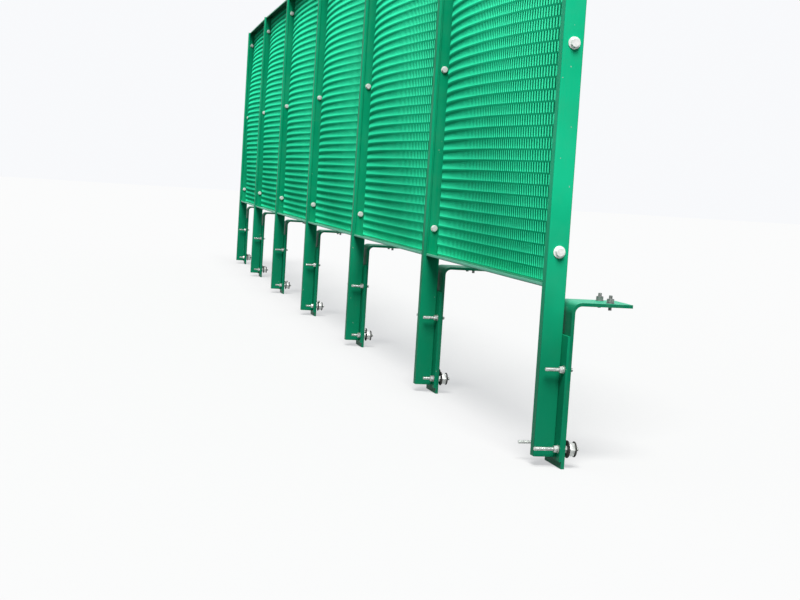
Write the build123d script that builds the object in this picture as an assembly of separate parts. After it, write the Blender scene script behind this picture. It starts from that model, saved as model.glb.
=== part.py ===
from build123d import *
import math
import os

# Mesh fence for the outer edge of a highway bridge, six bays on a gentle curve.
# Millimetres. X runs along the fence, the valley side is -Y, the road side is +Y, Z is up.
# The origin is on the wall face of the middle bracket, at the centre of its four wall bolts.
# Post 1 is the end post at +X, and the numbers count towards -X.

# Line of the fence
bay_count = 6
bay_pitch = 2000.0
turn_per_bay = 0.6

# Wall bracket, a wide flat bar bent over the top of the parapet
bracket_width = 200.0
bracket_thickness = 14.0
bracket_bend_radius = 30.0
arm_top_height = 445.0
arm_reach = 250.0
leg_drop = 245.0
wall_bolt_hole = 18.0
wall_bolt_gauge = 150.0
wall_bolt_rise = 330.0
arm_bolt_gauge = 120.0
arm_bolt_inset = 85.0

# Seat plate, welded to the foot of each post
seat_width = 200.0
seat_thickness = 10.0
seat_top = 305.0
seat_overhang = 10.0

# Post, a channel with its back to the end post's side
post_depth = 90.0
post_flange = 45.0
post_wall = 5.0
post_web_offset = 38.0
post_corner_radius = 6.0
post_foot_drop = 205.0

# Panel frame of four folded members with a deep web, an inner leg and an outer lip
panel_height = 2000.0
panel_bottom = 495.0
frame_depth = 70.0
frame_leg = 40.0
frame_lip = 15.0
frame_wall = 4.0
frame_fold_radius = 6.0

# Panel bolts through the stiles and the post's web
panel_bolt_hole = 18.0
panel_bolt_end = 150.0

# Expanded sheet, dished outward inside the frame, its fine cells coarsened to upright openings
mesh_thickness = 3.0
mesh_rise = 90.0
mesh_edge_lap = 26.0
mesh_margin = 44.0
mesh_bar = 36.0
mesh_columns = 6
mesh_rows = 2
mesh_folds = 4

# Sides of the many like bolt holes, where only those of the middle post and its mounts are round
plain_hole_sides = 6

# Clearances between pieces that are bolted together
stile_clearance = 0.3
frame_back_clearance = 2.0
mesh_clearance = 0.3

# Places that follow from the sizes above
post_count = bay_count + 1
line_radius = bay_pitch / (2 * math.sin(math.radians(turn_per_bay) / 2))
seat_face = -bracket_thickness
post_inner = seat_face - seat_thickness
post_outer = post_inner - post_depth
web_front = post_web_offset
web_back = post_web_offset - post_wall
frame_inner = post_inner - post_wall - frame_back_clearance
frame_outer = frame_inner - frame_depth
frame_middle = (frame_inner + frame_outer) / 2
panel_top = panel_bottom + panel_height
post_top = panel_top
panel_bolt_heights = (
    panel_bottom + panel_bolt_end,
    panel_bottom + panel_height / 2,
    panel_top - panel_bolt_end,
)


def post_angle(index):
    """Turn of a post about Z, in degrees, counted from the middle of the line."""
    return (bay_count / 2 - index) * turn_per_bay


def post_place(index):
    """Place of a post on the curve, with Y towards the road."""
    angle = math.radians(post_angle(index))
    x = line_radius * math.sin(angle)
    y = line_radius * (1 - math.cos(angle))
    return Location((x, y, 0), (0, 0, post_angle(index)))


def block(x0, x1, y0, y1, z0, z1):
    """Plain block between two corners."""
    middle = ((x0 + x1) / 2, (y0 + y1) / 2, (z0 + z1) / 2)
    return Pos(*middle) * Box(x1 - x0, y1 - y0, z1 - z0)


def hole(diameter, length, is_round):
    """Cutter of a bolt hole along Z, round or with a few flats that clear the same bolt."""
    if is_round:
        return Cylinder(diameter / 2, length)
    outline = RegularPolygon(diameter / 2, plain_hole_sides, major_radius=False)
    return extrude(outline, amount=length / 2, both=True)


def hole_along_y(x, z, y0, y1, diameter, is_round):
    """Cutter of a bolt hole across the fence."""
    return Pos(x, (y0 + y1) / 2, z) * Rot(90, 0, 0) * hole(diameter, y1 - y0, is_round)


def hole_along_x(y, z, x0, x1, diameter, is_round):
    """Cutter of a bolt hole along the fence."""
    return Pos((x0 + x1) / 2, y, z) * Rot(0, 90, 0) * hole(diameter, x1 - x0, is_round)


def wall_bolt_places():
    """The four wall bolts as x and z."""
    half_gauge = wall_bolt_gauge / 2
    half_rise = wall_bolt_rise / 2
    return [(sx * half_gauge, sz * half_rise) for sx in (-1, 1) for sz in (-1, 1)]


def make_bracket(is_round):
    """Flat bar bent once: the leg lies on the wall and the arm reaches over the parapet."""
    outer = -bracket_thickness
    underside = arm_top_height - bracket_thickness
    bend_outside = bracket_bend_radius + bracket_thickness
    with BuildPart() as bracket:
        with BuildSketch(Plane.YZ.offset(-bracket_width / 2)):
            with BuildLine():
                corner_outside = (outer, arm_top_height)
                corner_inside = (0, underside)
                FilletPolyline(
                    (outer, -leg_drop), corner_outside, (arm_reach, arm_top_height),
                    radius=bend_outside,
                )
                Line((arm_reach, arm_top_height), (arm_reach, underside))
                FilletPolyline(
                    (arm_reach, underside), corner_inside, (0, -leg_drop),
                    radius=bracket_bend_radius,
                )
                Line((0, -leg_drop), (outer, -leg_drop))
            make_face()
        extrude(amount=bracket_width)
    body = bracket.part
    for x, z in wall_bolt_places():
        body -= hole_along_y(x, z, 2 * outer, bracket_thickness, wall_bolt_hole, is_round)
    bolt_y = arm_reach - arm_bolt_inset
    for side in (-1, 1):
        x = side * arm_bolt_gauge / 2
        body -= Pos(x, bolt_y, arm_top_height) * hole(wall_bolt_hole, 4 * bracket_thickness, is_round)
    return body


def channel_section():
    """Channel outline with rounded outer and inner corners, the mouth towards -X."""
    mouth = web_front - post_flange
    with BuildSketch() as section:
        with Locations(((web_front + mouth) / 2, (post_inner + post_outer) / 2)):
            Rectangle(post_flange, post_depth)
        back = section.vertices().filter_by_position(Axis.X, web_front - 1, web_front + 1)
        fillet(back, post_corner_radius)
        inside = post_depth - 2 * post_wall
        with Locations(((web_back + mouth) / 2, (post_inner + post_outer) / 2)):
            Rectangle(web_back - mouth, inside, mode=Mode.SUBTRACT)
    return section.sketch


def make_post(is_round):
    """Channel post with the seat plate welded to the foot of its inner flange."""
    length = post_top + post_foot_drop
    channel = Pos(0, 0, -post_foot_drop) * extrude(channel_section(), amount=length)
    for height in panel_bolt_heights:
        start = web_back - post_wall
        end = web_front + post_wall
        channel -= hole_along_x(frame_middle, height, start, end, panel_bolt_hole, is_round)
    seat_bottom = -post_foot_drop - seat_overhang
    seat = block(-seat_width / 2, seat_width / 2, post_inner, seat_face, seat_bottom, seat_top)
    for x, z in wall_bolt_places():
        start = post_inner - seat_thickness
        end = seat_face + seat_thickness
        seat -= hole_along_y(x, z, start, end, wall_bolt_hole, is_round)
    return channel + seat


def bay_ends():
    """Ends of a panel frame along its bay, where the posts' webs stop it.

    The near end is against the back of the nearer post's web, and the far end
    against the front of the next post's web. Both webs lean away from the bay
    by half a turn, so the frame's inner edge is the first to meet them.
    """
    half_turn = math.radians(turn_per_bay) / 2
    lean = abs(frame_inner) * math.sin(half_turn)
    near_end = bay_pitch / 2 + web_back * math.cos(half_turn) + lean - stile_clearance
    far_end = -bay_pitch / 2 + web_front * math.cos(half_turn) - lean + stile_clearance
    return far_end, near_end


def bay_place(bay):
    """Place of a bay: the middle of the chord between two posts."""
    near = post_place(bay).position
    far = post_place(bay + 1).position
    middle = (near + far) / 2
    angle = (post_angle(bay) + post_angle(bay + 1)) / 2
    return Location((middle.X, middle.Y, 0), (0, 0, angle))


def frame_section():
    """Folded section of a frame member: X is inward from its outer face, Y is towards the road."""
    web_middle = (frame_outer + frame_inner) / 2
    with BuildSketch() as section:
        with Locations((frame_leg / 2, web_middle)):
            Rectangle(frame_leg, frame_depth)
        folds = section.vertices().filter_by_position(Axis.X, -1, 1)
        fillet(folds, frame_fold_radius)
        with Locations((frame_wall + frame_leg / 2, web_middle)):
            Rectangle(frame_leg, frame_depth - 2 * frame_wall, mode=Mode.SUBTRACT)
        with Locations((frame_lip + frame_leg / 2, frame_outer + frame_wall / 2)):
            Rectangle(frame_leg, frame_wall, mode=Mode.SUBTRACT)
    return section.sketch


def frame_member(length):
    """Folded member along Z, mitred at both ends to meet its neighbours."""
    body = extrude(frame_section(), amount=length)
    outline = [(0, 0), (0, length), (frame_leg, length - frame_leg), (frame_leg, frame_leg)]
    with BuildPart() as mitre:
        with BuildSketch(Plane.XZ.offset(-frame_inner - 1)):
            with BuildLine():
                Polyline(*outline, close=True)
            make_face()
        extrude(amount=frame_depth + 2)
    return body & mitre.part


def make_frame(has_mount):
    """The four members of a panel frame, going round from the foot of the far stile.

    Each member is placed by its corner, the way it faces inward and the way it runs.
    On the bay that carries a mount, the far stile's bolt holes are round.
    """
    far_end, near_end = bay_ends()
    width = near_end - far_end
    up = (0, 0, 1)
    down = (0, 0, -1)
    nearer = (1, 0, 0)
    farther = (-1, 0, 0)
    sides = {
        "far_stile": ((far_end, 0, panel_bottom), nearer, up, panel_height),
        "top_rail": ((far_end, 0, panel_top), down, nearer, width),
        "near_stile": ((near_end, 0, panel_top), farther, down, panel_height),
        "bottom_rail": ((near_end, 0, panel_bottom), up, farther, width),
    }
    members = {}
    for name, (corner, inward, along, length) in sides.items():
        plane = Plane(origin=corner, x_dir=inward, z_dir=along)
        members[name] = plane.location * frame_member(length)
    for name, edge in (("far_stile", far_end), ("near_stile", near_end)):
        start = edge - 2 * frame_wall
        end = edge + 2 * frame_wall
        is_round = has_mount and name == "far_stile"
        for height in panel_bolt_heights:
            members[name] -= hole_along_x(frame_middle, height, start, end, panel_bolt_hole, is_round)
    return members


def even_steps(start, end, count):
    """Places from start to end, a whole number of even steps apart."""
    return [start + (end - start) * step / count for step in range(count + 1)]


def mesh_edges():
    """Outer edges of the sheet: low and high along the bay, then low and high up the panel."""
    inset = frame_leg - mesh_edge_lap
    far_end, near_end = bay_ends()
    return far_end + inset, near_end - inset, panel_bottom + inset, panel_top - inset


def share_of_rise(place, low, high):
    """Bulge across one direction: 1 midway and 0 at both edges, along a parabola."""
    way = (2 * place - low - high) / (high - low)
    return 1 - way ** 2


def mesh_points(offset):
    """Grid of corners on one side of the dished sheet, moved outward by an offset.

    The four edges lie on the frame's inner legs. Between them the sheet stands out by the rise
    times its share along the bay times its share up the panel.
    """
    x0, x1, z0, z1 = mesh_edges()
    seat = frame_inner - frame_wall - mesh_clearance - offset
    rows = []
    for z in even_steps(z0, z1, mesh_folds):
        rise = mesh_rise * share_of_rise(z, z0, z1)
        xs = even_steps(x0, x1, mesh_columns)
        rows.append([Vector(x, seat - rise * share_of_rise(x, x0, x1), z) for x in xs])
    return rows


def dished_side(rows):
    """Flat triangles over a grid of corners, split along the lines that run out from the middle."""
    faces = []
    for level in range(mesh_folds):
        for column in range(mesh_columns):
            a, b = rows[level][column], rows[level][column + 1]
            c, d = rows[level + 1][column + 1], rows[level + 1][column]
            is_hip = (2 * level < mesh_folds) == (2 * column < mesh_columns)
            halves = ((a, b, c), (a, c, d)) if is_hip else ((a, b, d), (b, c, d))
            faces += [Face(Wire.make_polygon(half)) for half in halves]
    return faces


def dished_sheet():
    """Closed sheet between its road side and its valley side."""
    inner = mesh_points(0)
    outer = mesh_points(mesh_thickness)
    faces = dished_side(inner) + dished_side(outer)
    for row in (0, mesh_folds):
        for column in range(mesh_columns):
            rim = (inner[row][column], inner[row][column + 1], outer[row][column + 1], outer[row][column])
            faces.append(Face(Wire.make_polygon(rim)))
    for column in (0, mesh_columns):
        for row in range(mesh_folds):
            rim = (inner[row][column], inner[row + 1][column], outer[row + 1][column], outer[row][column])
            faces.append(Face(Wire.make_polygon(rim)))
    return Solid(Shell(faces))


def opening_spans(start, end, shift):
    """Heights of one column's openings, moved down by a share of a cell, cut short at the margins."""
    step = (end - start + mesh_bar) / mesh_rows
    spans = []
    for number in range(mesh_rows + math.ceil(shift)):
        low = start + (number - shift) * step
        spans.append((max(start, low), min(end, low + step - mesh_bar)))
    return spans


def make_mesh():
    """Expanded sheet with a column of openings between two bends, half a cell higher than the next."""
    x0, x1, z0, z1 = mesh_edges()
    front = frame_inner - mesh_rise - frame_depth
    bends = even_steps(x0, x1, mesh_columns)
    cells = []
    for column in range(mesh_columns):
        left = max(x0 + mesh_margin, bends[column] + mesh_bar / 2)
        right = min(x1 - mesh_margin, bends[column + 1] - mesh_bar / 2)
        for low, high in opening_spans(z0 + mesh_margin, z1 - mesh_margin, column % 2 / 2):
            cells.append(block(left, right, front, frame_inner, low, high))
    return dished_sheet() - cells


def save(shape, name):
    """Writes one piece of the fence."""
    export_step(shape, "parts/" + name + ".step")


def main():
    """Builds every post, bracket, frame and mesh sheet and writes them out."""
    os.makedirs("parts", exist_ok=True)
    middle = post_count // 2
    brackets = {is_round: make_bracket(is_round) for is_round in (False, True)}
    posts = {is_round: make_post(is_round) for is_round in (False, True)}
    for index in range(post_count):
        place = post_place(index)
        number = str(index + 1)
        save(place * brackets[index == middle], "wall_bracket_" + number)
        save(place * posts[index == middle], "post_" + number)
    frames = {has_mount: make_frame(has_mount) for has_mount in (False, True)}
    mesh = make_mesh()
    for bay in range(bay_count):
        place = bay_place(bay)
        number = str(bay + 1)
        for member_name, member in frames[bay == middle - 1].items():
            save(place * member, "panel_" + number + "_" + member_name)
        save(place * mesh, "mesh_sheet_" + number)


main()
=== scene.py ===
"""Looks of the highway mesh fence: paint, expanded metal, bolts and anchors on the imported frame."""

import logging
import math
from dataclasses import dataclass, field
from enum import Enum

import bpy
import numpy as np
from mathutils import Matrix, Vector


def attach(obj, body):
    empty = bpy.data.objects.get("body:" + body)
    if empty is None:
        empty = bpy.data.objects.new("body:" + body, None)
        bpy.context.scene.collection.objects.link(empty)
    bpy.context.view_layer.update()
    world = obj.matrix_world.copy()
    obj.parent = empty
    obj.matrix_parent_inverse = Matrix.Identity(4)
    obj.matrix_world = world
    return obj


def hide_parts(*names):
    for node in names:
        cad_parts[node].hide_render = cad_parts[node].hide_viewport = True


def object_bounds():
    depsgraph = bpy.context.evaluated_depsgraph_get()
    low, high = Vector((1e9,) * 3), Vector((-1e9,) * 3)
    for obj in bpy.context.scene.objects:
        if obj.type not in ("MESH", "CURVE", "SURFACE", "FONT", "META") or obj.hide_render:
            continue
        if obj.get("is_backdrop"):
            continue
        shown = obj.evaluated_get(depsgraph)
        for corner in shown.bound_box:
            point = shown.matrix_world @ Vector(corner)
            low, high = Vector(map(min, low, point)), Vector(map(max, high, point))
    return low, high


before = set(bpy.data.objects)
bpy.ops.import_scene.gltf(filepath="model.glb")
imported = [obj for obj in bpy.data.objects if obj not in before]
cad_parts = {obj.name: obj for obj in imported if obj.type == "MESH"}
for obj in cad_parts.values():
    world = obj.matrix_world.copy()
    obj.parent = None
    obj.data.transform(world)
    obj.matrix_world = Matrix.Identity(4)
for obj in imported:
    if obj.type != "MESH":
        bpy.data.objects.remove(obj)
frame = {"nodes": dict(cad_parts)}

LOG = logging.getLogger("mesh_fence")
BODY = "root"

# Edges that turn by more than this are drawn sharp.
STRAND_EDGE = math.radians(8)
FASTENER_EDGE = math.radians(28)

Colour = tuple[float, float, float]


class Slot(Enum):
    """Material slots of the record, for the mesh's coating and the zinc steel."""

    MESH = "mesh_coating"
    ZINC = "zinc_steel"


class Facing(Enum):
    """Which way a fastener's own axis points in its post's frame."""

    NEARER = (1.0, 0.0, 0.0)
    FARTHER = (-1.0, 0.0, 0.0)
    OUTWARD = (0.0, -1.0, 0.0)
    INWARD = (0.0, 1.0, 0.0)
    UP = (0.0, 0.0, 1.0)


@dataclass(frozen=True)
class FenceLine:
    """The curve that the posts stand on, and the sizes that its pieces share, in metres."""

    bays: int = 6
    pitch: float = 2.0
    turn: float = math.radians(0.6)
    bracket_thickness: float = 0.014
    seat_thickness: float = 0.010
    post_wall: float = 0.005
    post_web_front: float = 0.038
    frame_wall: float = 0.004
    frame_depth: float = 0.070
    back_clearance: float = 0.002
    stile_clearance: float = 0.0003
    panel_bottom: float = 0.495
    panel_top: float = 2.495

    @property
    def radius(self) -> float:
        """Radius of the line through the posts."""
        return self.pitch / (2 * math.sin(self.turn / 2))

    @property
    def seat_face(self) -> float:
        """Outer face of the seat plates, across the fence."""
        return -self.bracket_thickness - self.seat_thickness

    @property
    def frame_inner(self) -> float:
        """Inner face of the panel frames, across the fence."""
        return self.seat_face - self.post_wall - self.back_clearance

    @property
    def frame_middle(self) -> float:
        """Middle of the panel frames' depth, across the fence."""
        return self.frame_inner - self.frame_depth / 2

    def post_angle(self, index: int) -> float:
        """Turn of a post about the vertical, counted from the middle of the line."""
        return (self.bays / 2 - index) * self.turn

    def post_place(self, index: int) -> Matrix:
        """Place of a post's own frame on the line.

        It stands at x = r sin a and y = r (1 - cos a), where r is the line's radius and a the
        post's turn.

        Args:
            index: Post number, from 0 at the near end.

        Returns:
            A matrix that takes points of the post's frame to the row's frame.
        """
        angle = self.post_angle(index)
        x = self.radius * math.sin(angle)
        y = self.radius * (1 - math.cos(angle))
        return Matrix.Translation((x, y, 0.0)) @ Matrix.Rotation(angle, 4, "Z")

    def bay_place(self, bay: int) -> Matrix:
        """Place of a bay's own frame, at the middle of the chord between its two posts.

        Args:
            bay: Bay number, from 0 at the near end.

        Returns:
            A matrix that takes points of the bay's frame to the row's frame.
        """
        middle = (self.post_place(bay).translation + self.post_place(bay + 1).translation) / 2
        angle = (self.post_angle(bay) + self.post_angle(bay + 1)) / 2
        return Matrix.Translation(middle) @ Matrix.Rotation(angle, 4, "Z")

    def bay_ends(self) -> tuple[float, float]:
        """Ends of a panel frame along its bay, where its stiles lie on the posts' webs.

        Returns:
            The far end and the near end.
        """
        half_turn = self.turn / 2
        lean = abs(self.frame_inner) * math.sin(half_turn)
        web_front = self.post_web_front * math.cos(half_turn)
        web_back = (self.post_web_front - self.post_wall) * math.cos(half_turn)
        near = self.pitch / 2 + web_back + lean - self.stile_clearance
        far = -self.pitch / 2 + web_front - lean + self.stile_clearance
        return far, near


def place_facing(
    place: Matrix, point: tuple[float, float, float], facing: Facing, turn: float = 0.0
) -> Matrix:
    """Matrix of a fastener whose own Z axis points a given way at a given point.

    Args:
        place: Frame that the point is given in.
        point: Place of the fastener's foot.
        facing: Way that its axis points.
        turn: Turn of the fastener about its own axis, in radians.

    Returns:
        A matrix that takes points of the fastener to the row's frame.
    """
    axis = Vector(facing.value)
    turned = axis.to_track_quat("Z", "Y").to_matrix().to_4x4()
    return place @ Matrix.Translation(point) @ turned @ Matrix.Rotation(turn, 4, "Z")


def lifted(place: Matrix, height: float) -> Matrix:
    """A fastener's place, moved along its own axis."""
    return place @ Matrix.Translation((0.0, 0.0, height))


def ring_angles(sides: int) -> np.ndarray:
    """Angles of the points round a ring."""
    return np.arange(sides) * (2 * math.pi / sides)


def ring_points(radius: np.ndarray, height: np.ndarray, angle: np.ndarray) -> np.ndarray:
    """Rings about the Z axis: x = r cos a, y = r sin a and z = h.

    Args:
        radius: Radius of each ring at each angle, or one for the whole ring.
        height: Height of each ring, from the foot up.
        angle: Angles of the points round a ring.

    Returns:
        Array of rings, sides and coordinates.
    """
    x = radius * np.cos(angle)
    y = radius * np.sin(angle)
    z = np.broadcast_to(height[:, None], x.shape)
    return np.stack((x, y, z), axis=-1)


def turned_rings(radius: np.ndarray, height: np.ndarray, sides: int) -> np.ndarray:
    """Rings of a turned shape, of one radius and height each."""
    return ring_points(radius[:, None], height, ring_angles(sides))


def hexagon_rings(across_flats: float, rings: list[tuple[float, float]], sides: int) -> np.ndarray:
    """Rings of a chamfered hexagon: the radius is the lesser of the hexagon's and the cone's.

    The hexagon's radius at an angle is half its width over cos b, where b is the angle
    from the nearest flat's middle. The cone is what the chamfers are turned to.

    Args:
        across_flats: Width between two flats.
        rings: Radius of the cone and height of each ring, from the foot up.
        sides: Number of points round each ring, a multiple of twelve.

    Returns:
        Array of rings, sides and coordinates.
    """
    angle = ring_angles(sides)
    from_flat = np.mod(angle + math.pi / 6, math.pi / 3) - math.pi / 6
    hexagon = across_flats / 2 / np.cos(from_flat)
    cone, height = np.array(rings).T
    return ring_points(np.minimum(hexagon, cone[:, None]), height, angle)


@dataclass
class ShapeStore:
    """Collects closed tubes, rings by sides, and joins them into one mesh."""

    points: list[np.ndarray] = field(default_factory=list)
    corners: list[np.ndarray] = field(default_factory=list)
    count: int = 0

    def add(self, grids: np.ndarray, place: Matrix) -> None:
        """Adds closed tubes with flat ends.

        Each ring runs anticlockwise about the way that its tube goes.

        Args:
            grids: One tube's rings, sides and coordinates, or an array of such tubes.
            place: Matrix that takes the tubes to the row's frame.
        """
        values = np.array(place)
        grids = grids @ values[:3, :3].T + values[:3, 3]
        if grids.ndim == 3:
            grids = grids[None]
        tubes, rings, sides = grids.shape[:3]
        index = self.count + np.arange(tubes * rings * sides).reshape(tubes, rings, sides)
        onward = np.roll(index, -1, axis=2)
        quads = np.stack((index[:, :-1], onward[:, :-1], onward[:, 1:], index[:, 1:]), axis=-1)
        self.corners.append(quads.reshape(-1, 4))
        self.corners.append(index[:, 0, ::-1])
        self.corners.append(index[:, -1])
        self.points.append(grids.reshape(-1, 3))
        self.count += tubes * rings * sides

    def make(
        self, name: str, material: bpy.types.Material, sharp_angle: float
    ) -> bpy.types.Object:
        """Joins what was added into one object at the origin that rides with the fence.

        Args:
            name: Name of the piece.
            material: Finish of the piece.
            sharp_angle: Edges that turn by more than this, in radians, are drawn sharp.

        Returns:
            The new object.
        """
        sizes = np.concatenate([np.full(len(part), part.shape[1]) for part in self.corners])
        starts = np.concatenate(([0], np.cumsum(sizes)[:-1]))
        flat = np.concatenate([part.ravel() for part in self.corners])
        points = np.concatenate(self.points)
        mesh = bpy.data.meshes.new(name)
        mesh.vertices.add(self.count)
        mesh.vertices.foreach_set("co", points.astype(np.float32).ravel())
        mesh.loops.add(len(flat))
        mesh.loops.foreach_set("vertex_index", flat.astype(np.int32))
        mesh.polygons.add(len(sizes))
        mesh.polygons.foreach_set("loop_start", starts.astype(np.int32))
        mesh.polygons.foreach_set("use_smooth", np.ones(len(sizes), dtype=bool))
        mesh.update(calc_edges=True)
        mesh.set_sharp_from_angle(angle=sharp_angle)
        mesh.materials.append(material)
        piece = bpy.data.objects.new(name, mesh)
        bpy.context.scene.collection.objects.link(piece)
        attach(piece, BODY)
        LOG.info("%s: %d faces", name, len(sizes))
        return piece


class Sock:
    """A socket of a shader tree whose sums are written as Python expressions."""

    def __init__(self, tree: "ShaderTree", socket: bpy.types.NodeSocket) -> None:
        """Keeps the tree and the socket."""
        self.tree = tree
        self.socket = socket

    def _math(self, operation: str, *values: "Sock | float") -> "Sock":
        """Adds a Math node."""
        return self.tree.node("ShaderNodeMath", {"operation": operation}, dict(enumerate(values)))

    def __add__(self, other: "Sock | float") -> "Sock":
        """Sum."""
        return self._math("ADD", self, other)

    __radd__ = __add__

    def __mul__(self, other: "Sock | float") -> "Sock":
        """Product."""
        return self._math("MULTIPLY", self, other)

    __rmul__ = __mul__

    def __sub__(self, other: "Sock | float") -> "Sock":
        """Difference."""
        return self._math("SUBTRACT", self, other)

    def __rsub__(self, other: "Sock | float") -> "Sock":
        """Difference, the other way."""
        return self._math("SUBTRACT", other, self)

    def either(self, other: "Sock") -> "Sock":
        """The greater of two values, so one where either is one."""
        return self._math("MAXIMUM", self, other)

    def clamped(self, low: float, high: float) -> "Sock":
        """Value moved from the range low to high onto 0 to 1, with its ends held."""
        inputs = {"Value": self, "From Min": low, "From Max": high}
        return self.tree.node("ShaderNodeMapRange", {"clamp": True}, inputs)


@dataclass(frozen=True)
class Grain:
    """A noise pattern, with the part of its range that is spread over 0 to 1.

    The scale is in cells a metre, unless the coordinates are stretched. Most of the noise
    lies from about 0.3 to 0.7, so a low end above that leaves only specks.
    """

    scale: float
    detail: float
    roughness: float
    low: float = 0.0
    high: float = 1.0


class ShaderTree:
    """Node tree of one material or of the world, built through one method."""

    def __init__(self, owner: bpy.types.Material | bpy.types.World) -> None:
        """Empties the tree of a material or world.

        Args:
            owner: What the tree gives its looks to.
        """
        owner.use_nodes = True
        self.owner = owner
        self.tree = owner.node_tree
        self.tree.nodes.clear()

    def node(
        self, kind: str, settings: dict | None = None, inputs: dict | None = None,
        output: str | int = 0
    ) -> Sock | None:
        """Adds a node.

        Args:
            kind: Type of the node.
            settings: Properties that are set first.
            inputs: Values or sockets by name or number.
            output: Name or number of the output that is handed back.

        Returns:
            The chosen output, or nothing for a node that ends the tree.
        """
        made = self.tree.nodes.new(kind)
        for key, value in (settings or {}).items():
            setattr(made, key, value)
        for key, value in (inputs or {}).items():
            if isinstance(value, Sock):
                self.tree.links.new(value.socket, made.inputs[key])
            else:
                made.inputs[key].default_value = value
        return Sock(self, made.outputs[output]) if len(made.outputs) else None

    def position(self) -> Sock:
        """Object coordinates in metres."""
        return self.node("ShaderNodeTexCoord", output="Object")

    def stretched(self, scale: tuple[float, float, float]) -> Sock:
        """Object coordinates times a scale along each axis."""
        inputs = {"Vector": self.position(), "Scale": scale}
        return self.node("ShaderNodeMapping", {}, inputs)

    def upright(self, vector: Sock) -> Sock:
        """Upright part of a vector."""
        return self.node("ShaderNodeSeparateXYZ", {}, {"Vector": vector}, output="Z")

    def noise(self, vector: Sock, grain: Grain) -> Sock:
        """Noise as it comes.

        Args:
            vector: Coordinates that the noise is read at.
            grain: Pattern of the noise.

        Returns:
            The noise.
        """
        inputs = {
            "Vector": vector,
            "Scale": grain.scale,
            "Detail": grain.detail,
            "Roughness": grain.roughness,
        }
        return self.node("ShaderNodeTexNoise", {}, inputs)

    def marks(self, vector: Sock, grain: Grain) -> Sock:
        """Noise with its part from low to high spread over 0 to 1."""
        return self.noise(vector, grain).clamped(grain.low, grain.high)

    def mix(self, factor: Sock | float, low: Sock | Colour, high: Sock | Colour) -> Sock:
        """Blend of two colours.

        Args:
            factor: Share of the second colour.
            low: First colour.
            high: Second colour.

        Returns:
            The blended colour.
        """
        low = low if isinstance(low, Sock) else (*low, 1.0)
        high = high if isinstance(high, Sock) else (*high, 1.0)
        inputs = {0: factor, 6: low, 7: high}
        return self.node("ShaderNodeMix", {"data_type": "RGBA"}, inputs, output=2)

    def bump(self, height: Sock, strength: float, distance: float) -> Sock:
        """Normal bent by a height."""
        inputs = {"Height": height, "Strength": strength, "Distance": distance}
        return self.node("ShaderNodeBump", {}, inputs)

    def glow(self, kind: str, colour: Colour, strength: float) -> Sock:
        """Emission or Background shader of a colour and strength."""
        return self.node(kind, {}, {"Color": (*colour, 1.0), "Strength": strength})

    def matt(self, colour: Colour) -> Sock:
        """Diffuse shader of a colour."""
        return self.node("ShaderNodeBsdfDiffuse", {}, {"Color": (*colour, 1.0)})

    def blend(self, factor: Sock | float, first: Sock, second: Sock) -> Sock:
        """Blend of two shaders."""
        return self.node("ShaderNodeMixShader", {}, {0: factor, 1: first, 2: second})

    def seen_by_eye(self) -> Sock:
        """Picks out the rays from the camera, off metal and through glass.

        Returns:
            One for those rays and nothing for the rest.
        """
        eye = self.node("ShaderNodeLightPath", output="Is Camera Ray")
        metal = self.node("ShaderNodeLightPath", output="Is Glossy Ray")
        glass = self.node("ShaderNodeLightPath", output="Is Transmission Ray")
        return eye.either(metal).either(glass)

    def surface(self, inputs: dict) -> bpy.types.Material:
        """Ends the tree in a principled shader.

        Args:
            inputs: Values or sockets of the shader by name.

        Returns:
            The material.
        """
        shader = self.node("ShaderNodeBsdfPrincipled", {}, inputs)
        self.node("ShaderNodeOutputMaterial", {}, {"Surface": shader})
        return self.owner


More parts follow.
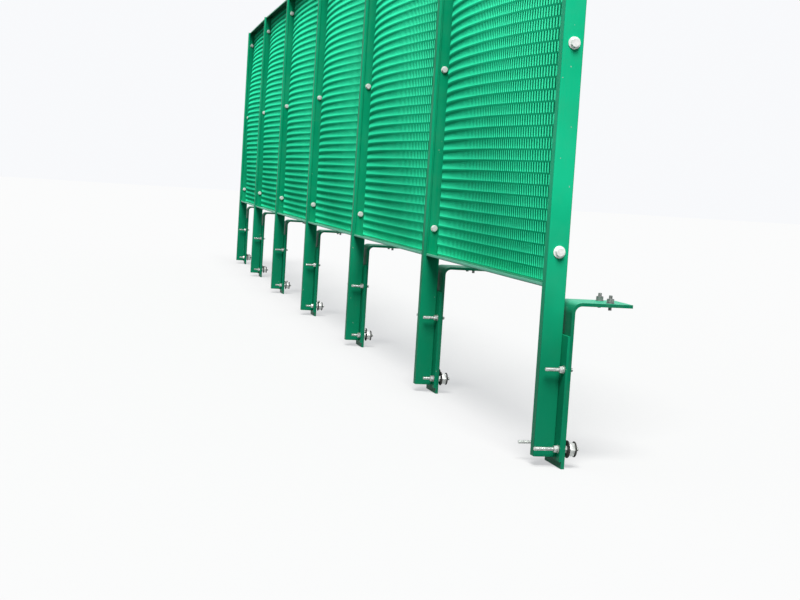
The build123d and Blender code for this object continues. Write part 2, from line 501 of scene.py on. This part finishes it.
@dataclass(frozen=True)
class GreenPaint:
    """Green coating on steel: an orange peel skin, faded and dusty patches, run marks and chips.

    Posts darken towards their feet with painted shade, which starts at a set height and deepens
    over a set depth below it. Upper sides get a lighter colour, as painted light from above, and
    under sides a darker one, as painted shade. A tilt is the range of the normal's upright part
    over which such a colour comes in.
    """

    name: str
    fresh: Colour
    faded: Colour
    dust: Colour = (0.16, 0.30, 0.22)
    dust_amount: float = 0.12
    roughness: float = 0.38
    gloss: float = 0.03
    # Lighter colour of the upper sides: painted light from above.
    lit_upper_side: Colour | None = None
    lit_upper_tilt: tuple[float, float] = (0.70, 0.95)
    # Darker colour of the under sides: painted shade.
    shaded_under_side: Colour | None = None
    shaded_under_tilt: tuple[float, float] = (0.60, 0.90)
    # Darkening towards the posts' feet, with a wavering top edge: painted shade.
    foot_shade: Colour = (0.003, 0.11, 0.055)
    foot_shade_amount: float = 0.0
    foot_shade_top: float = 0.95
    foot_shade_height: float = 0.85
    foot_shade_waver: float = 0.12
    chip: Colour = (0.42, 0.52, 0.47)
    chip_amount: float = 1.0
    fading: Grain = Grain(2.3, 3.0, 0.55, 0.35, 0.68)
    run_stretch: tuple[float, float, float] = (38.0, 38.0, 1.6)
    runs: Grain = Grain(1.0, 5.0, 0.6, 0.52, 0.78)
    grime: Grain = Grain(9.0, 6.0, 0.62, 0.45, 0.75)
    chips: Grain = Grain(62.0, 2.0, 0.4, 0.775, 0.80)
    peel: Grain = Grain(420.0, 2.0, 0.5)
    run_share: float = 0.6
    grime_share: float = 0.55
    soil_roughness: float = 0.22
    chip_roughness: float = 0.2
    peel_height: float = 0.12
    grime_height: float = 0.25
    bump_strength: float = 0.35
    bump_distance: float = 0.0006

    def sides(self, tree: ShaderTree, colour: Sock) -> Sock:
        """Paints light on upper sides and shade on under sides, where the paint has them.

        Args:
            tree: Tree of the paint.
            colour: Colour of the other sides.

        Returns:
            The colour of all sides.
        """
        if self.lit_upper_side is None and self.shaded_under_side is None:
            return colour
        upward = tree.upright(tree.node("ShaderNodeNewGeometry", output="True Normal"))
        if self.lit_upper_side is not None:
            colour = tree.mix(upward.clamped(*self.lit_upper_tilt), colour, self.lit_upper_side)
        if self.shaded_under_side is not None:
            downward = (-1.0 * upward).clamped(*self.shaded_under_tilt)
            colour = tree.mix(downward, colour, self.shaded_under_side)
        return colour

    def build(self) -> bpy.types.Material:
        """Makes the material.

        Returns:
            The painted metal.
        """
        tree = ShaderTree(bpy.data.materials.new(self.name))
        place = tree.position()
        fading = tree.marks(place, self.fading)
        colour = self.sides(tree, tree.mix(fading, self.fresh, self.faded))
        runs = tree.marks(tree.stretched(self.run_stretch), self.runs)
        grime = tree.marks(place, self.grime)
        soil = (runs * self.run_share + grime * self.grime_share).clamped(0.0, 1.0)
        colour = tree.mix(soil * self.dust_amount, colour, self.dust)
        # Painted shade, darker towards the posts' feet.
        if self.foot_shade_amount > 0.0:
            depth = self.foot_shade_top - tree.upright(place) - fading * self.foot_shade_waver
            foot_shade = depth.clamped(0.0, self.foot_shade_height) * self.foot_shade_amount
            colour = tree.mix(foot_shade, colour, self.foot_shade)
        chips = tree.marks(place, self.chips) * self.chip_amount
        colour = tree.mix(chips, colour, self.chip)
        rough = soil * self.soil_roughness + chips * self.chip_roughness + self.roughness
        skin = tree.noise(place, self.peel) * self.peel_height + grime * self.grime_height
        inputs = {
            "Base Color": colour,
            "Roughness": rough,
            "Normal": tree.bump(skin, self.bump_strength, self.bump_distance),
            "Specular IOR Level": self.gloss,
        }
        return tree.surface(inputs)


@dataclass(frozen=True)
class ZincPlate:
    """Zinc plate on bolts and studs, with dull blotches and a little rust."""

    name: str
    bright: Colour
    dull: Colour
    rust: Colour = (0.26, 0.15, 0.08)
    rust_amount: float = 0.25
    roughness: float = 0.24
    metallic: float = 0.80
    blotches: Grain = Grain(70.0, 5.0, 0.6, 0.38, 0.68)
    spots: Grain = Grain(46.0, 6.0, 0.7, 0.64, 0.72)
    blotch_roughness: float = 0.16
    rust_roughness: float = 0.25
    rust_cover: float = 0.5
    bump_strength: float = 0.25
    bump_distance: float = 0.0003

    def build(self) -> bpy.types.Material:
        """Makes the material.

        Returns:
            The plated steel.
        """
        tree = ShaderTree(bpy.data.materials.new(self.name))
        place = tree.position()
        blotches = tree.marks(place, self.blotches)
        spots = tree.marks(place, self.spots)
        colour = tree.mix(blotches, self.bright, self.dull)
        colour = tree.mix(spots * self.rust_amount, colour, self.rust)
        rough = blotches * self.blotch_roughness + spots * self.rust_roughness + self.roughness
        inputs = {
            "Base Color": colour,
            "Roughness": rough,
            "Metallic": (1.0 - spots * self.rust_cover) * self.metallic,
            "Normal": tree.bump(blotches, self.bump_strength, self.bump_distance),
        }
        return tree.surface(inputs)


@dataclass(frozen=True)
class DarkPad:
    """Dusty black rubber of the pads behind the brackets."""

    name: str = "dark_pad"
    colour: Colour = (0.022, 0.023, 0.022)
    dust: Colour = (0.09, 0.088, 0.082)
    dust_amount: float = 0.6
    dusty: Grain = Grain(55.0, 5.0, 0.6, 0.4, 0.75)
    roughness: float = 0.75
    bump_strength: float = 0.4
    bump_distance: float = 0.0005

    def build(self) -> bpy.types.Material:
        """Makes the material.

        Returns:
            The rubber.
        """
        tree = ShaderTree(bpy.data.materials.new(self.name))
        dusty = tree.marks(tree.position(), self.dusty)
        inputs = {
            "Base Color": tree.mix(dusty * self.dust_amount, self.colour, self.dust),
            "Roughness": self.roughness,
            "Normal": tree.bump(dusty, self.bump_strength, self.bump_distance),
        }
        return tree.surface(inputs)


@dataclass(frozen=True)
class Palette:
    """The finishes of the fence."""

    # Painted light and shade: the end post's green is lighter, the other posts' darker.
    end_post: GreenPaint = GreenPaint(
        "end_post_lit_coat", (0.006, 0.50, 0.245), (0.012, 0.58, 0.300), foot_shade_amount=0.78
    )
    post: GreenPaint = GreenPaint(
        "post_coat", (0.003, 0.36, 0.172), (0.008, 0.42, 0.210), foot_shade_amount=0.58
    )
    # Darker green of the frames: painted shade, with painted light above and darker shade below.
    frame: GreenPaint = GreenPaint(
        "frame_shaded_coat", (0.001, 0.32, 0.150), (0.006, 0.38, 0.185),
        lit_upper_side=(0.12, 0.52, 0.36), shaded_under_side=(0.001, 0.06, 0.028)
    )
    # Pale green of the bottom rails: painted highlight, with painted shade under them.
    sill: GreenPaint = GreenPaint(
        "sill_highlight_coat", (0.170, 0.66, 0.460), (0.230, 0.72, 0.530),
        lit_upper_side=(0.22, 0.70, 0.50), shaded_under_side=(0.001, 0.06, 0.028)
    )
    # Darker green of the brackets: painted shade, with painted light above and deeper shade below.
    bracket: GreenPaint = GreenPaint(
        "bracket_coat", (0.002, 0.17, 0.085), (0.007, 0.22, 0.112), dust_amount=0.25,
        lit_upper_side=(0.04, 0.38, 0.23), shaded_under_side=(0.001, 0.08, 0.040)
    )
    # Base green: the strands' shaded faces; upper side colour: painted light where they tilt up.
    mesh: GreenPaint = GreenPaint(
        "mesh_coat", (0.000, 0.26, 0.120), (0.003, 0.31, 0.148), dust_amount=0.05,
        roughness=0.36, gloss=0.10, chip_amount=0.0,
        lit_upper_side=(0.026, 0.86, 0.455), lit_upper_tilt=(-0.04, 0.32)
    )
    bolts: ZincPlate = ZincPlate(
        "zinc_plate", (0.90, 0.92, 0.91), (0.70, 0.72, 0.71), metallic=0.20
    )
    anchors: ZincPlate = ZincPlate(
        "dull_zinc_plate", (0.60, 0.63, 0.61), (0.42, 0.44, 0.43), metallic=0.75
    )
    arm_anchors: ZincPlate = ZincPlate(
        "sooted_zinc_plate", (0.25, 0.27, 0.26), (0.10, 0.11, 0.11), roughness=0.42, metallic=0.50
    )
    pad: DarkPad = DarkPad()


@dataclass
class ExpandedPanel:
    """Expanded metal sheet of one bay, dished outward, with its long diamonds upright.

    Each strand runs from the bottom rail to the top rail. At every second row it meets the
    strand on its left, and at the rows between the one on its right, side by side in a bond.
    All strands lean about the vertical, so that the sheet stands open like louvres.
    """

    line: FenceLine
    row_count: int = 39
    strand_pitch: float = 0.0133
    strand_width: float = 0.0066
    strand_thickness: float = 0.0022
    lean: float = math.radians(-62)
    bond_half: float = 0.0040
    rise: float = 0.088
    inset: float = 0.014
    clearance: float = 0.0003

    @property
    def swing_depth(self) -> float:
        """How far the sheet's two faces of strands stand apart at a bond, middle to middle."""
        return self.strand_width * math.sin(self.lean)

    def surface(self, x: np.ndarray, z: np.ndarray) -> tuple[np.ndarray, np.ndarray]:
        """Middle surface of the sheet across the fence.

        It stands out from its seat on the frame's inner legs by rise * (1 - u * u) * (1 - v * v),
        where u and v run from -1 to 1 along the bay and up it.

        Args:
            x: Places along the bay.
            z: Heights.

        Returns:
            Places across the fence, and their slope along the bay.
        """
        line = self.line
        far, near = line.bay_ends()
        half = (near - far) / 2 - self.inset
        half_height = (line.panel_top - line.panel_bottom) / 2 - self.inset
        u = (x - (far + near) / 2) / half
        v = (z - (line.panel_top + line.panel_bottom) / 2) / half_height
        leg_face = line.frame_inner - line.frame_wall - self.clearance
        seat = leg_face - abs(self.swing_depth) - self.strand_thickness / 4
        upright = 1 - v * v
        return seat - self.rise * (1 - u * u) * upright, self.rise * 2 * u / half * upright

    def heights(self) -> tuple[np.ndarray, np.ndarray]:
        """Heights of the rings of a strand and how far it has swung there.

        The swing stays at -1 or 1 along each bond, and goes straight over to the other
        along the leg to the next.

        Returns:
            Heights and swings, one each for every ring.
        """
        bottom = self.line.panel_bottom + self.inset
        top = self.line.panel_top - self.inset
        pitch = (top - bottom) / self.row_count
        row = np.arange(self.row_count)
        way = np.where(row % 2 == 0, 1.0, -1.0)
        leg_ends = np.array((self.bond_half, pitch - self.bond_half))
        height = bottom + row[:, None] * pitch + leg_ends
        swing = way[:, None] * np.array((-1.0, 1.0))
        height = np.concatenate(([bottom], height.ravel(), [top]))
        swing = np.concatenate((swing[0, :1], swing.ravel(), swing[-1, 1:]))
        return height, swing

    def section(self) -> tuple[np.ndarray, np.ndarray]:
        """Corners of a strand's section: a flat bar whose width leans out of the sheet.

        Returns:
            Places of the four corners along the bay and out of the sheet.
        """
        half_width = self.strand_width / 2
        half_thick = self.strand_thickness / 2
        wide = np.array((-half_width, half_width, half_width, -half_width))
        thick = np.array((-half_thick, -half_thick, half_thick, half_thick))
        cos_lean = math.cos(self.lean)
        sin_lean = math.sin(self.lean)
        return wide * cos_lean - thick * sin_lean, wide * sin_lean + thick * cos_lean

    def strands(self) -> np.ndarray:
        """Rings of all strands in the bay's own frame.

        A strand's middle is at its pitch line, plus its swing times the room left beside it,
        along the bay, and it stands out of the sheet by the lean's share of half its width.
        Its section is turned by the sheet's own slope there.

        Returns:
            Array of strands, rings, four corners and coordinates.
        """
        far, near = self.line.bay_ends()
        length = near - far - 2 * self.inset
        count = int(length / self.strand_pitch)
        pitch = length / count
        height, swing = self.heights()
        number = np.arange(count)
        side = np.where(number % 2 == 0, 1.0, -1.0)
        turned = side[:, None] * swing[None, :]
        room = (pitch - self.strand_width * math.cos(self.lean)) / 2
        pitch_line = (far + near) / 2 + (number[:, None] - (count - 1) / 2) * pitch
        along = pitch_line + turned * room
        level = np.broadcast_to(height[None, :], along.shape)
        face, slope = self.surface(along, level)
        turn = np.arctan(slope)[..., None]
        section_along, section_out = self.section()
        out = section_out - (turned * self.swing_depth / 2)[..., None]
        x = along[..., None] + section_along * np.cos(turn) + out * np.sin(turn)
        y = face[..., None] + section_along * np.sin(turn) - out * np.cos(turn)
        z = np.broadcast_to(level[..., None], x.shape)
        return np.stack((x, y, z), axis=-1)[:, :, ::-1]

    def build(self, coat: bpy.types.Material) -> None:
        """Makes one piece for each bay in place of its plain sheet.

        Args:
            coat: Finish of the sheets.
        """
        strands = self.strands()
        for bay in range(self.line.bays):
            store = ShapeStore()
            store.add(strands, self.line.bay_place(bay))
            piece = store.make(f"expanded_mesh_{bay + 1}", coat, STRAND_EDGE)
            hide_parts(f"mesh_sheet_{bay + 1}")


@dataclass
class FastenerShapes:
    """Bolt heads, nuts, washers and studs, each standing on its own foot along Z.

    Four fields are shares: head_centre of the width across flats, nut_chamfer of how far a
    corner stands past a flat, washer_ease of the thickness and first_ridge of the thread's pitch.
    """

    sides: int = 24
    head_chamfer: float = 0.00352
    head_centre: float = 0.39
    nut_chamfer: float = 0.6
    nut_face_inset: float = 0.0005
    washer_ease: float = 0.25
    stud_sides: int = 10
    stud_radius: float = 0.008
    shank_inset: float = 0.0006
    tip_inset: float = 0.0014
    first_ridge: float = 0.35
    thread_depth: float = 0.0009
    thread_pitch: float = 0.002

    def head(self, flats: float, height: float) -> np.ndarray:
        """Hexagon head with its top edge chamfered.

        Args:
            flats: Width between two flats.
            height: Height of the head.

        Returns:
            Array of rings, sides and coordinates.
        """
        corner = flats / 2 / math.cos(math.pi / 6)
        rings = [
            (corner, 0.0),
            (corner, height - self.head_chamfer),
            (flats / 2, height),
            (self.head_centre * flats, height),
        ]
        return hexagon_rings(flats, rings, self.sides)

    def nut(self, flats: float, height: float) -> np.ndarray:
        """Hexagon nut with both edges chamfered.

        Args:
            flats: Width between two flats.
            height: Height of the nut.

        Returns:
            Array of rings, sides and coordinates.
        """
        corner = flats / 2 / math.cos(math.pi / 6)
        chamfer = (corner - flats / 2) * self.nut_chamfer
        rings = [
            (flats / 2 - self.nut_face_inset, 0.0),
            (corner, chamfer),
            (corner, height - chamfer),
            (flats / 2 - self.nut_face_inset, height),
        ]
        return hexagon_rings(flats, rings, self.sides)

    def washer(self, radius: float, height: float) -> np.ndarray:
        """Flat washer with eased edges.

        Args:
            radius: Outer radius.
            height: Thickness of the washer.

        Returns:
            Array of rings, sides and coordinates.
        """
        ease = height * self.washer_ease
        radii = np.array((radius - ease, radius, radius, radius - ease))
        levels = np.array((0.0, ease, height - ease, height))
        return turned_rings(radii, levels, self.sides)

    def stud(self, start: float, end: float, threaded_from: float) -> np.ndarray:
        """Rod with a plain foot, ridges a pitch apart and a narrower tip.

        Args:
            start: Height of the rod's foot.
            end: Height of its tip.
            threaded_from: Height that the ridges start at.

        Returns:
            Array of rings, sides and coordinates.
        """
        count = max(1, int((end - threaded_from) / self.thread_pitch))
        crest = threaded_from + (np.arange(count) + self.first_ridge) * self.thread_pitch
        root = crest + self.thread_pitch / 2
        ridges = np.tile((self.stud_radius, self.stud_radius - self.thread_depth), count)
        shank = self.stud_radius - self.shank_inset
        tip = self.stud_radius - self.tip_inset
        radii = np.concatenate(([shank, shank], ridges, [tip]))
        levels = np.stack((crest, root), axis=-1).ravel()
        levels = np.concatenate(([start, threaded_from], levels, [end]))
        return turned_rings(radii, levels, self.stud_sides)


@dataclass
class PanelBolts:
    """Three bolts at every post, through the stiles on both sides of its web.

    Heads and nuts are each turned their own way.
    """

    line: FenceLine
    shapes: FastenerShapes
    end_distance: float = 0.150
    washer_radius: float = 0.0185
    washer_height: float = 0.004
    head_size: tuple[float, float] = (0.027, 0.010)
    end_washer_radius: float = 0.026
    end_head_size: tuple[float, float] = (0.033, 0.014)
    nut_flats: float = 0.024
    nut_height: float = 0.013
    stud_start: float = -0.002
    stud_end: float = 0.026
    first_turn: float = 0.35
    turn_per_post: float = 0.9
    turn_per_row: float = 0.6
    nut_turn: float = 0.4

    def heights(self) -> tuple[float, float, float]:
        """Heights of the three bolts.

        Returns:
            The heights, from the lowest up.
        """
        bottom = self.line.panel_bottom
        top = self.line.panel_top
        return bottom + self.end_distance, (bottom + top) / 2, top - self.end_distance

    def add_head(self, store: ShapeStore, place: Matrix, index: int) -> None:
        """Adds a bolt's washer and head, which are larger on the end post.

        Args:
            store: What the shapes are added to.
            place: Foot of the washer, facing outward from the web.
            index: Post number, from 0 at the near end.
        """
        radius = self.end_washer_radius if index == 0 else self.washer_radius
        size = self.end_head_size if index == 0 else self.head_size
        store.add(self.shapes.washer(radius, self.washer_height), place)
        store.add(self.shapes.head(*size), lifted(place, self.washer_height))

    def add_tail(self, store: ShapeStore, place: Matrix) -> None:
        """Adds a bolt's other washer, its nut and the thread past it.

        Args:
            store: What the shapes are added to.
            place: Foot of the washer, facing outward from the web.
        """
        shapes = self.shapes
        threaded_from = self.washer_height + self.nut_height
        store.add(shapes.washer(self.washer_radius, self.washer_height), place)
        store.add(shapes.nut(self.nut_flats, self.nut_height), lifted(place, self.washer_height))
        store.add(shapes.stud(self.stud_start, self.stud_end, threaded_from), place)

    def build(self, zinc: bpy.types.Material) -> None:
        """Makes one joined piece of bolts for each post.

        Args:
            zinc: Finish of the bolts.
        """
        line = self.line
        stile = line.frame_wall + line.stile_clearance
        for index in range(line.bays + 1):
            store = ShapeStore()
            place = line.post_place(index)
            front = line.post_web_front + (stile if index > 0 else 0.0)
            web_back = line.post_web_front - line.post_wall
            back = web_back - (stile if index < line.bays else 0.0)
            for row, height in enumerate(self.heights()):
                turn = self.first_turn + self.turn_per_post * index + self.turn_per_row * row
                head = (front, line.frame_middle, height)
                tail = (back, line.frame_middle, height)
                self.add_head(store, place_facing(place, head, Facing.NEARER, turn), index)
                turn += self.nut_turn
                self.add_tail(store, place_facing(place, tail, Facing.FARTHER, turn))
            store.make(f"panel_bolts_{index + 1}", zinc, FASTENER_EDGE)


@dataclass
class WallAnchors:
    """Four anchor studs through each bracket's leg and two through its arm, with nuts and washers.

    The end post's reaches are those of its farther and then its nearer column, each from the
    lower stud to the upper. The nuts are turned by so much for each post, column and row.
    """

    line: FenceLine
    shapes: FastenerShapes
    gauge: float = 0.150
    rise: float = 0.330
    upper_reach: float = 0.078
    lower_reach: float = 0.058
    end_post_reaches: tuple[tuple[float, float], ...] = ((0.122, 0.062), (0.104, 0.078))
    embedded: float = 0.015
    sunk: float = 0.006
    tail: float = 0.016
    washer_radius: float = 0.0175
    washer_height: float = 0.003
    nut_flats: float = 0.027
    nut_height: float = 0.0165
    outer_turns: tuple[float, float, float] = (0.7, 1.3, 2.1)
    lock_nut_flats: float = 0.030
    lock_nut_height: float = 0.013
    pad_radius: float = 0.037
    last_pad_radius: float = 0.033
    pad_height: float = 0.005
    big_nut_flats: float = 0.054
    big_nut_height: float = 0.026
    inner_turns: tuple[float, float] = (0.5, 1.0)
    arm_gauge: float = 0.120
    arm_bolt_y: float = 0.165
    arm_top: float = 0.445
    arm_stub: float = 0.014
    arm_turns: tuple[float, float, float] = (0.4, 0.8, 1.0)

    def add_nut(self, store: ShapeStore, base: Matrix, start: float, past: float) -> None:
        """Adds a washer, a nut and the stud through them.

        Args:
            store: What the shapes are added to.
            base: Foot of the washer.
            start: Height of the stud's foot.
            past: Height of its tip.
        """
        shapes = self.shapes
        top = self.washer_height + self.nut_height
        store.add(shapes.washer(self.washer_radius, self.washer_height), base)
        store.add(shapes.nut(self.nut_flats, self.nut_height), lifted(base, self.washer_height))
        store.add(shapes.stud(start, past, top), base)

    def outer_studs(self, store: ShapeStore, place: Matrix, index: int) -> None:
        """Studs, washers and nuts on the seat plate's outer face.

        Args:
            store: What the shapes are added to.
            place: Place of the post's own frame.
            index: Post number, from 0 at the near end.
        """
        face = self.line.seat_face
        like = ((self.lower_reach, self.upper_reach),) * 2
        reaches = self.end_post_reaches if index == 0 else like
        per_post, per_column, per_row = self.outer_turns
        for across, column in zip((-0.5, 0.5), reaches):
            for up, reach in zip((-0.5, 0.5), column):
                point = (across * self.gauge, face, up * self.rise)
                turn = per_post * index + per_column * across + per_row * up
                base = place_facing(place, point, Facing.OUTWARD, turn)
                self.add_nut(store, base, face / 2, reach)

    def inner_studs(self, store: ShapeStore, pads: ShapeStore, place: Matrix, index: int) -> None:
        """Studs behind the leg, and on the lower row a lock nut and a big nut between two pads.

        Args:
            store: What the studs and nuts are added to.
            pads: What the pads are added to.
            place: Place of the post's own frame.
            index: Post number, from 0 at the near end.
        """
        shapes = self.shapes
        first_pad = self.lock_nut_height
        big_nut = first_pad + self.pad_height
        last_pad = big_nut + self.big_nut_height
        end = last_pad + self.pad_height + self.tail
        first_turn, per_post = self.inner_turns
        for across in (-0.5, 0.5):
            x = across * self.gauge
            upper = place_facing(place, (x, 0.0, self.rise / 2), Facing.INWARD)
            store.add(shapes.stud(-self.sunk, self.embedded, 0.0), upper)
            turn = first_turn + per_post * index
            lower = place_facing(place, (x, 0.0, -self.rise / 2), Facing.INWARD, turn)
            store.add(shapes.nut(self.lock_nut_flats, self.lock_nut_height), lower)
            lock = lifted(lower, big_nut)
            store.add(shapes.nut(self.big_nut_flats, self.big_nut_height), lock)
            store.add(shapes.stud(-self.sunk, end, last_pad), lower)
            pads.add(shapes.washer(self.pad_radius, self.pad_height), lifted(lower, first_pad))
            pads.add(shapes.washer(self.last_pad_radius, self.pad_height), lifted(lower, last_pad))

    def arm_studs(self, store: ShapeStore, place: Matrix, index: int) -> None:
        """Upright studs, washers and nuts on the arm.

        Args:
            store: What the shapes are added to.
            place: Place of the post's own frame.
            index: Post number, from 0 at the near end.
        """
        start = -self.line.bracket_thickness - self.embedded
        end = self.washer_height + self.nut_height + self.arm_stub
        first_turn, per_post, per_column = self.arm_turns
        for across in (-0.5, 0.5):
            point = (across * self.arm_gauge, self.arm_bolt_y, self.arm_top)
            turn = first_turn + per_post * index + per_column * across
            self.add_nut(store, place_facing(place, point, Facing.UP, turn), start, end)

    def build(
        self, zinc: bpy.types.Material, arm_zinc: bpy.types.Material, rubber: bpy.types.Material
    ) -> None:
        """Makes three joined pieces for each post: the leg's anchors, the arm's and the pads.

        Args:
            zinc: Finish of the leg's anchors.
            arm_zinc: Finish of the arm's anchors.
            rubber: Finish of the pads.
        """
        for index in range(self.line.bays + 1):
            store = ShapeStore()
            arm_store = ShapeStore()
            pads = ShapeStore()
            place = self.line.post_place(index)
            self.outer_studs(store, place, index)
            self.inner_studs(store, pads, place, index)
            self.arm_studs(arm_store, place, index)
            store.make(f"anchors_{index + 1}", zinc, FASTENER_EDGE)
            arm_store.make(f"arm_anchors_{index + 1}", arm_zinc, FASTENER_EDGE)
            pads.make(f"stand_off_pads_{index + 1}", rubber, FASTENER_EDGE)


@dataclass
class DressedNodes:
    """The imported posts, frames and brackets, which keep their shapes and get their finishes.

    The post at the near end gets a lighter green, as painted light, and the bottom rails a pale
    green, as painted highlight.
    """

    palette: Palette
    end_post: str = "post_1"
    sill_end: str = "bottom_rail"

    def build(self) -> None:
        """Gives each carried-over CAD piece its finish."""
        post = self.palette.post.build()
        frame_shaded_coat = self.palette.frame.build()
        bracket = self.palette.bracket.build()
        end_post = self.palette.end_post.build()
        sill = self.palette.sill.build()
        finishes = {"post_": post, "panel_": frame_shaded_coat, "wall_bracket_": bracket}
        for name, node in frame["nodes"].items():
            for start, usual in finishes.items():
                if not name.startswith(start):
                    continue
                # End post's lighter green: painted light; bottom rails' pale green: painted
                # highlight.
                finish = end_post if name == self.end_post else usual
                if name.endswith(self.sill_end):
                    finish = sill
                node.data.materials.clear()
                node.data.materials.append(finish)
                LOG.info("%s: %s", name, finish.name)


@dataclass
class Studio:
    """Pale floor, one soft sun and the camera at the photograph's place."""

    floor_size: float = 60.0
    paper: Colour = (0.60, 0.60, 0.60)
    paper_share: float = 0.45
    ground: Colour = (0.05, 0.06, 0.05)
    white: Colour = (0.97, 0.98, 1.0)
    backdrop: float = 0.97
    sky: Colour = (0.93, 0.97, 1.0)
    sky_strength: float = 0.34
    sun: Colour = (1.0, 0.985, 0.95)
    sun_strength: float = 5.0
    sun_height: float = math.radians(58)
    sun_side: float = math.radians(18)
    sun_width: float = math.radians(30)
    sun_place: tuple[float, float, float] = (6.0, -3.0, 6.0)
    camera_place: tuple[float, float, float] = (11.8609, -1.9043, 0.9103)
    yaw: float = 2.92525
    pitch: float = -0.08229
    roll: float = 0.06365
    sensor_width: float = 36.0
    focal_pixels: float = 1488.8
    image_width: int = 800
    clip: tuple[float, float] = (0.1, 200.0)

    def add_camera(self) -> None:
        """Looks along the fence from beyond its near end, fitted to the bolts of its posts."""
        forward = Vector((
            math.cos(self.yaw) * math.cos(self.pitch),
            math.sin(self.yaw) * math.cos(self.pitch),
            math.sin(self.pitch),
        ))
        level = Vector((math.sin(self.yaw), -math.cos(self.yaw), 0.0))
        upright = level.cross(forward)
        right = level * math.cos(self.roll) + upright * math.sin(self.roll)
        up = upright * math.cos(self.roll) - level * math.sin(self.roll)
        data = bpy.data.cameras.new("camera")
        data.sensor_width = self.sensor_width
        data.lens = self.sensor_width * self.focal_pixels / self.image_width
        data.clip_start, data.clip_end = self.clip
        camera = bpy.data.objects.new("camera", data)
        rotation = Matrix((right, up, -forward)).transposed()
        camera.matrix_world = Matrix.Translation(self.camera_place) @ rotation.to_4x4()
        bpy.context.scene.collection.objects.link(camera)
        bpy.context.scene.camera = camera

    def floor_material(self) -> bpy.types.Material:
        """Pale paper to the eye, and dark to light that would bounce up from it.

        Returns:
            The floor's material.
        """
        tree = ShaderTree(bpy.data.materials.new("floor_paper"))
        glow = tree.glow("ShaderNodeEmission", self.white, self.backdrop)
        pale = tree.blend(self.paper_share, glow, tree.matt(self.paper))
        both = tree.blend(tree.seen_by_eye(), tree.matt(self.ground), pale)
        tree.node("ShaderNodeOutputMaterial", {}, {"Surface": both})
        return tree.owner

    def add_floor(self) -> None:
        """Flat floor under the lowest point of the fence: a grid of three by three points."""
        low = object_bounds()[0].z
        span = np.linspace(-self.floor_size, self.floor_size, 3)
        x, y = np.meshgrid(span, span)
        points = np.stack((x.ravel(), y.ravel(), np.full(x.size, low)), axis=-1)
        index = np.arange(x.size).reshape(x.shape)
        faces = np.stack((index[:-1, :-1], index[:-1, 1:], index[1:, 1:], index[1:, :-1]), axis=-1)
        mesh = bpy.data.meshes.new("floor")
        mesh.from_pydata(points.tolist(), [], faces.reshape(-1, 4).tolist())
        mesh.materials.append(self.floor_material())
        floor = bpy.data.objects.new("floor", mesh)
        bpy.context.scene.collection.objects.link(floor)
        floor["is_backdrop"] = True

    def add_world(self) -> None:
        """Soft even sky for the object, and white behind it for the camera, metal and glass."""
        world = bpy.data.worlds.new("studio_world")
        bpy.context.scene.world = world
        tree = ShaderTree(world)
        dim = tree.glow("ShaderNodeBackground", self.sky, self.sky_strength)
        bright = tree.glow("ShaderNodeBackground", self.white, self.backdrop)
        both = tree.blend(tree.seen_by_eye(), dim, bright)
        tree.node("ShaderNodeOutputWorld", {}, {"Surface": both})

    def add_sun(self) -> None:
        """Wide soft sun from beyond the near end, a little to the outer side."""
        data = bpy.data.lights.new("sun", "SUN")
        data.angle = self.sun_width
        data.energy = self.sun_strength
        data.color = self.sun
        lamp = bpy.data.objects.new("sun", data)
        level = math.cos(self.sun_height)
        toward = -Vector((
            level * math.cos(self.sun_side),
            -level * math.sin(self.sun_side),
            math.sin(self.sun_height),
        ))
        aim = toward.to_track_quat("-Z", "Y").to_matrix().to_4x4()
        lamp.matrix_world = Matrix.Translation(self.sun_place) @ aim
        bpy.context.scene.collection.objects.link(lamp)

    def build(self) -> None:
        """Sets the whole studio."""
        self.add_camera()
        self.add_floor()
        self.add_world()
        self.add_sun()
        bpy.context.scene.view_settings.view_transform = "Standard"


def corners(box: tuple[Vector, Vector]) -> list[list[float]]:
    """Lowest and highest corner as plain lists."""
    return [[round(value, 5) for value in corner] for corner in box]


def main() -> None:
    """Dresses the frame, adds the mesh and the fasteners, and sets the studio."""
    logging.basicConfig(level=logging.INFO)
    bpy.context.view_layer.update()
    line = FenceLine()
    palette = Palette()
    shapes = FastenerShapes()
    DressedNodes(palette).build()
    ExpandedPanel(line).build(palette.mesh.build())
    PanelBolts(line, shapes).build(palette.bolts.build())
    anchors = WallAnchors(line, shapes)
    anchors.build(palette.anchors.build(), palette.arm_anchors.build(), palette.pad.build())
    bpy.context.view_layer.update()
    Studio().build()


if __name__ == "__main__":
    main()
